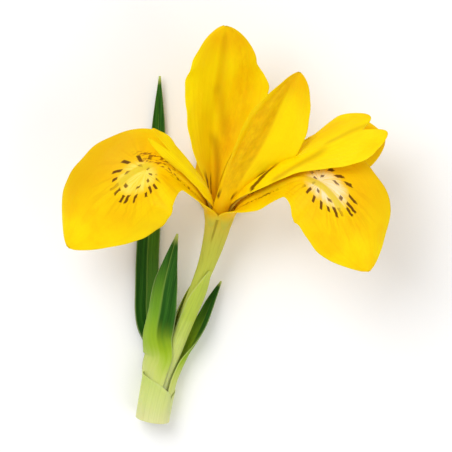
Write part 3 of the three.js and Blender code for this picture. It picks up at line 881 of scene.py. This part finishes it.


# The standards
# The three upper petals, which grow between the falls: a short claw and a broad upright blade with a soft
# midrib fold and a wavy edge, all of one clear yellow with painted light and shade, and a few dark streaks of
# painted shadow low down.
def plain_petal_surface(dull, streaks, fold_shades, tip):
    """The yellow, painted lighter on one side of a line and with painted shade on the other, less near the
    rim, duller at the tip, with painted shade along folds and painted shadow in the slits between petals.

    dull is the line's two sides, its slant and its strength. A brown streak, painted shadow of a slit between
    petals, starts across at its first number, and has a slope, a breadth and two ends along. So does a fold's
    painted ochre shade, with its strength last.
    """

    def surface(shade):
        along, across, side, length, width = laid_out(shade)
        yellow, veins, grain = petal_yellow(along, across, side, length, width)
        creases = width.joined(length * 0.5).noise(0.9, 3)
        crumpled = width.joined(length * 0.6).noise(0.42, 2)
        first, second, slant, amount = dull
        # Painted light and shade: one side of the line is lighter, as if lit, and the other darker, as if
        # shaded.
        line = across + (along - 0.6) * slant
        lit_side = line.rise(second, first) * along.rise(0.2, 0.36) * along.rise(0.98, 0.8)
        lit_yellow = (lit_side * 0.6).blend(yellow, paint("ffe000"))
        painted_shade = line.rise(first, second) * along.rise(0.1, 0.25) * (creases.rise(0.1, 0.9) * 0.9 + 0.1)
        rim_light = 1 - (abs(across) + (creases - 0.5) * 0.4).rise(0.66, 0.88) * 0.75
        shaded_yellow = (painted_shade * amount * rim_light).blend(lit_yellow, paint("d4a600"))
        colour = (along.rise(0.76, 0.96) * tip).blend(shaded_yellow, paint("e0a800"))
        # Painted shade along each fold.
        for middle, slope, breadth, low, high, strength in fold_shades:
            beside = abs(across - middle - (along - low) * slope).rise(breadth, 0)
            faded = along.rise(low, low + 0.06) * along.rise(high, high - 0.08)
            colour = (beside * faded * strength).blend(colour, paint("b08400"))
        ragged = width.joined(length * 0.3).noise(2.2, 2) - 0.5
        # Brown streaks: painted shadow in the slits between petals.
        for middle, slope, breadth, low, high in streaks:
            beside = abs(across - middle - (along - low) * slope + ragged * breadth)
            slit_shadow = beside.rise(breadth, breadth * 0.4) * along.rise(low, low + 0.03)
            slit_shadow = slit_shadow * along.rise(high, high - 0.08)
            colour = (slit_shadow * 0.9).blend(colour, paint("663404"))
        return colour, grain * 0.14 + 0.42, veins + grain * 0.35 + crumpled * 3, 0.35

    return surface


def petal_finish(name, dull, streaks, fold_shades=(), tip=0.4):
    return plant_finish(name, plain_petal_surface(dull, streaks, fold_shades, tip), 0.35, 0.9)


STANDARD_CUP = [(0, 30), (0.2, 40), (0.5, 26), (1, 8)]
STANDARD_CREST = [(0, 0), (0.3, -0.1), (0.8, -0.1), (1, 0)]
STANDARD_LENGTH = 42.5
petal(
    "left_standard",
    "standard_left",
    petal_finish(
        "left_standard_skin",
        dull=(-0.1, -0.6, 0, 0.5),
        streaks=[(0.0, 0, 0.16, 0.05, 0.22), (0.75, 0, 0.2, 0.1, 0.24)],
        fold_shades=[
            (0.0, 0, 0.24, 0.6, 1.0, 0.34),
            (-0.5, 1.8, 0.26, 0.36, 0.69, 0.38),
            (-1.0, 2.8, 0.34, 0.05, 0.44, 0.55),
        ],
    ),
    turn=-122,
    root=(CLAW_RING - 0.9, 0.1),
    length=STANDARD_LENGTH,
    width=[
        (0, 1.7), (0.1, 1.7), (0.2, 2.7), (0.38, 5.9), (0.54, 8.4), (0.69, 9.1), (0.83, 8.4), (1, 5.8)
    ],
    tip=0.74,
    cup=STANDARD_CUP,
    fold=[(0, 0), (0.2, 0.25), (0.6, 0.22), (1, 0.06)],
    lean=[(0, 12), (0.15, 11), (0.5, 4), (1, -2)],
    sway=[(0, 0), (0.2, -2), (0.55, -7), (1, 12)],
    flares=[
        (1, [(0.08, 0), (0.24, 0.4), (0.4, 0.2), (0.6, 0)], STILL),
        (
            -1,
            [(0.4, 0), (0.55, 0.15), (0.67, 0.2), (0.74, 0.05), (0.81, -0.14), (0.9, -0.06), (1, 0)],
            STILL,
        ),
    ],
    roll=[(0, 0), (0.3, -24), (1, -42)],
    wave=([(0, 0), (0.4, 0.2), (0.75, 1), (1, 0.4)], 2.6, 0.8),
    crest=STANDARD_CREST,
)

petal(
    "front_standard",
    "standard_front",
    petal_finish(
        "front_standard_skin",
        dull=(0.14, -0.04, 1.0, 0.85),
        streaks=[(-0.75, 0, 0.2, 0.1, 0.2), (0.6, 0, 0.16, 0.12, 0.22), (0.97, 0, 0.08, 0.45, 0.56)],
    ),
    turn=-4,
    root=(CLAW_RING - 0.9, 0.1),
    length=STANDARD_LENGTH - 1.5,
    width=[
        (0, 1.7), (0.1, 1.9), (0.2, 2.5), (0.38, 4.1), (0.54, 5.7), (0.69, 6.3), (0.83, 5.7), (1, 3.8)
    ],
    tip=0.74,
    cup=STANDARD_CUP,
    fold=[(0, 0), (0.2, -0.15), (0.5, -0.45), (1, -0.35)],
    lean=[(0, 10), (0.15, 12), (0.5, 5), (1, -2)],
    sway=[(0, 6), (0.2, 18), (0.5, 24), (1, 13)],
    flares=[
        (1, [(0.08, 0), (0.25, 0.3), (0.45, 0.5), (0.58, 0.35), (0.72, 0.15), (0.85, 0.05), (1, 0)], STILL)
    ],
    pleat=(-0.7, 0.14, [(0.3, 0), (0.45, 0.6), (0.75, 0.5), (1, 0)]),
    roll=[(0, 0), (0.4, 14), (1, 20)],
    wave=([(0, 0), (0.4, 0.2), (0.75, 0.8), (1, 0.3)], 2.4, 2.2),
    crest=STANDARD_CREST,
)

petal(
    "right_standard",
    "standard_right",
    petal_finish(
        "right_standard_skin",
        dull=(-0.2, 0.6, 0, 0.4),
        streaks=[(0.0, 0, 0.2, 0.06, 0.2)],
    ),
    turn=112,
    root=(CLAW_RING - 0.9, 0.1),
    length=STANDARD_LENGTH - 3.5,
    width=[
        (0, 1.7), (0.1, 1.8), (0.2, 2.5), (0.38, 5), (0.54, 7.3), (0.69, 8.2), (0.83, 7.7), (1, 5.6)
    ],
    tip=0.74,
    cup=STANDARD_CUP,
    fold=[(0, 0), (0.2, 0.1), (0.6, 0.14), (1, 0.06)],
    lean=[(0, 14), (0.12, 34), (0.35, 56), (0.7, 67), (1, 74)],
    sway=[(0, 0), (0.2, -6), (0.6, -15), (1, -14)],
    flares=[
        (
            1,
            [(0.15, 0), (0.28, -0.55), (0.5, -0.62), (0.64, -0.4), (0.76, -0.14), (0.9, -0.05), (1, 0)],
            STILL,
        ),
    ],
    pleat=(0.2, 0.3, [(0.4, 0), (0.7, -1.0), (1, -0.6)]),
    roll=[(0, 0), (0.2, 6), (0.5, 30), (1, 40)],
    wave=([(0, 0), (0.4, 0.2), (0.75, 1.2), (1, 0.6)], 2.3, 1.6),
    crest=STANDARD_CREST,
)


# The style arms
# Three petal-like arms from the middle of the flower, each arched over the haft of a fall like a roof. The
# end of each turns up in a crest of two pointed, slightly ragged lobes.
STYLE_LENGTH = 34
STYLE_SHAPE = {
    "root": (1.15, 0.2),
    "width": [(0, 0.9), (0.1, 1.2), (0.35, 2.2), (0.55, 3.2), (0.7, 5), (0.85, 6.2), (1, 5.6)],
    "tip": 1,
    "cup": [(0, -20), (0.1, -36), (0.45, -24), (0.65, -6), (1, 22)],
    "fold": [(0, 0), (0.5, 0), (0.75, -0.2), (1, -0.25)],
    "sway": STILL,
    "roll": STILL,
    "notch": {"depth": [(0, 0), (0.3, 0), (1, 0.96)], "lobe": 0.5, "slant": 0},
    "crest": [(0, 0), (0.3, 0.12), (0.6, 0.1), (1, 0)],
}
STYLE_WAVE = [(0, 0), (0.6, 0), (1, 0.5)]
STYLE_THICKNESS = [(0, 0.5), (0.5, 0.42), (0.8, 0.28), (1, 0.2)]


def style_arm(name, node, finish, **own):
    """An arm of the common shape, apart from what is its own."""
    petal(name, node, finish, STYLE_THICKNESS, **{**STYLE_SHAPE, **own})


arm_skin = petal_finish("arm_skin", dull=(0.5, 0.8, 0, 0.2), streaks=[(0.0, 0, 0.2, 0.06, 0.2)], tip=0)
style_arm(
    "left_style_arm",
    "style_left",
    arm_skin,
    turn=-61,
    length=STYLE_LENGTH - 6,
    width=[(0, 0.9), (0.1, 1.2), (0.35, 1.9), (0.55, 2.2), (0.7, 3), (0.85, 3.6), (1, 3.2)],
    lean=[(0, 10), (0.1, 30), (0.35, 44), (0.6, 47), (1, 48)],
    roll=[(0, 0), (0.1, -20), (0.3, -44), (1, -48)],
    sway=[(0, 0), (0.15, 12), (0.35, 8), (0.6, -4), (1, -14)],
    flares=[(1, [(0.25, 0), (0.4, -0.28), (0.8, -0.38), (1, -0.3)], STILL)],
    wave=(STYLE_WAVE, 3, 1),
)

style_arm(
    "right_style_arm",
    "style_right",
    petal_finish(
        "right_arm_skin",
        dull=(0.0, 1.0, 0, 0.45),
        streaks=[(0.4, 0, 0.18, 0.2, 0.4), (-0.83, 7.2, 0.3, 0.24, 0.46)],
        fold_shades=[(-0.95, 2.6, 0.3, 0.36, 0.72, 0.45), (0.1, 0, 0.16, 0.66, 1.0, 0.35)],
        tip=0,
    ),
    turn=58,
    length=STYLE_LENGTH + 12.5,
    width=[(0, 0.9), (0.1, 1.4), (0.3, 2.5), (0.5, 3.1), (0.65, 5), (0.82, 7), (1, 5)],
    lean=[(0, 12), (0.1, 32), (0.3, 46), (0.6, 50), (1, 52)],
    roll=[(0, 0), (0.1, 16), (0.3, 38), (1, 60)],
    sway=[(0, 0), (0.12, -5), (0.3, -3), (0.5, 24), (1, 36)],
    notch={"depth": [(0, 0), (0.6, 0), (1, 0.4)], "lobe": 0.45, "slant": 0.1},
    wave=(STYLE_WAVE, 3, 2),
)

style_arm(
    "rear_style_arm",
    "style_rear",
    arm_skin,
    turn=180,
    length=STYLE_LENGTH - 2,
    lean=[(0, 10), (0.1, 25), (0.35, 30), (0.6, 24), (0.8, 14), (1, 0)],
    wave=(STYLE_WAVE, 3, 0),
)


# The stamens
# Three stamens in the tunnels between the hafts and the style arms: a thin pale filament, and a long cream
# anther of two lobes that opens lengthwise and sheds yellow grains.
STAMEN_LENGTH = 19
STAMEN_ROOT = 0.12
STAMEN_RADIUS = [(0, 0.28), (0.5, 0.28), (0.56, 0.45), (0.8, 0.52), (0.97, 0.36), (1, 0.12)]


def anther_surface(shade):
    along, _, _, length, width = laid_out(shade)
    grains = width.joined(length).noise(14.0, 2)
    opened = along.rise(0.53, 0.58)
    pale = opened.blend(paint("f0da50"), paint("f4dc78"))
    dusted = (opened * grains.rise(0.55, 0.68) * 0.8).blend(pale, paint("f2b90f"))
    return dusted, grains * 0.1 + 0.6, grains, 1.0


anther_skin = plant_finish("anther_skin", anther_surface, 0.2, 0.5)


def stamen(name, node, turn, lean):
    rows = 90
    still = dict.fromkeys(("sway", "roll", "cup", "fold", "crest"), STILL)
    points = petal_points(
        turn=turn, root=(2.1, 0.4), length=STAMEN_LENGTH, lean=lean, width=[(0, 1), (1, 1)], tip=1,
        wave=(STILL, 1, 0), claw=STAMEN_ROOT, rows=rows, columns=3, **still,
    )[0]
    line = points[:, 1]
    along = np.linspace(-STAMEN_ROOT, 1, rows)
    forward = unit(np.gradient(line, axis=0))
    bearing = math.radians(turn)
    first = unit(np.cross(forward, RIGHT * math.sin(bearing) + FRONT * math.cos(bearing)))
    second = np.cross(forward, first)
    angle = np.linspace(0, 2 * math.pi, 20, endpoint=False)
    lobed = 1 - np.clip((along - 0.5) / 0.06, 0, 1)[:, None] * 0.3 * np.abs(np.sin(angle)) ** 4
    radius = profile(STAMEN_RADIUS, along)[:, None] * lobed
    circle = np.cos(angle)[None, :, None] * first[:, None] + np.sin(angle)[None, :, None] * second[:, None]
    rings = line[:, None] + radius[..., None] * circle
    turned(name, rings, along, anther_skin, node)


stamen("left_stamen", "stamen_left", -61, [(0, 10), (0.1, 28), (0.5, 44), (1, 52)])
stamen("right_stamen", "stamen_right", 58, [(0, 9), (0.1, 28), (0.5, 46), (1, 49)])
stamen("rear_stamen", "stamen_rear", 180, [(0, 10), (0.1, 27), (0.5, 35), (1, 37)])


# The table
# A plain pale tabletop, painted matt and near white. The flower lies loose on it, and nothing holds it up.
def tabletop():
    mesh = bpy.data.meshes.new("tabletop")
    half = 0.9  # metres
    corners = [(-half, -half, 0), (half, -half, 0), (half, half, 0), (-half, half, 0)]
    mesh.from_pydata(corners, [], [(0, 1, 2, 3)])
    finish = bpy.data.materials.new("tabletop_paint")
    finish.use_nodes = True
    skin = finish.node_tree.nodes["Principled BSDF"]
    start = Shade(finish.node_tree)
    cloud = start.add("TexCoord", {}, {}, "Object").noise(6.0, 2)
    colour = (cloud * 0.2).blend(paint("fdfdfd"), paint("f8f8f7"))
    finish.node_tree.links.new(colour.output, skin.inputs["Base Color"])
    skin.inputs["Roughness"].default_value = 0.75
    skin.inputs["Specular IOR Level"].default_value = 0.2
    mesh.materials.append(finish)
    table = bpy.data.objects.new("tabletop", mesh)
    bpy.context.scene.collection.objects.link(table)


tabletop()


# The studio
# A bright white tent round the flower, with a large soft lamp above it to the upper left and a weaker one
# opposite.
TENT_BRIGHTNESS = 0.62
LAMP_SIZE = 0.5
LAMPS = [("softbox", (-0.3, 0.3, 0.75), 3.4), ("fill", (0.4, -0.35, 0.5), 1.1)]  # name, place, watts


def studio():
    scene = bpy.context.scene
    tent = bpy.data.worlds.new("tent")
    tent.use_nodes = True
    tent.node_tree.nodes["Background"].inputs["Color"].default_value = (1, 1, 1, 1)
    tent.node_tree.nodes["Background"].inputs["Strength"].default_value = TENT_BRIGHTNESS
    scene.world = tent
    scene.view_settings.view_transform = "Standard"
    for name, spot, watts in LAMPS:
        lamp = bpy.data.lights.new(name, "AREA")
        lamp.size = LAMP_SIZE
        lamp.energy = watts
        stand = bpy.data.objects.new(name, lamp)
        stand.location = spot
        stand.rotation_euler = (-Vector(spot)).to_track_quat("-Z", "Y").to_euler()
        scene.collection.objects.link(stand)


studio()


# The camera
# It looks straight down on the flower through a long lens, as the picture looks at it from the front.
DISTANCE = 1.0
FRAME_WIDTH = 0.099  # metres across the picture at the flower
MIDDLE_HEIGHT = 0.015


def camera():
    data = bpy.data.cameras.new("camera")
    data.sensor_width = 36
    data.lens = data.sensor_width * DISTANCE / FRAME_WIDTH
    data.clip_start, data.clip_end = 0.05, 5
    made = bpy.data.objects.new("camera", data)
    made.location = (0, 0, DISTANCE + MIDDLE_HEIGHT)
    bpy.context.scene.collection.objects.link(made)
    bpy.context.scene.camera = made


camera()
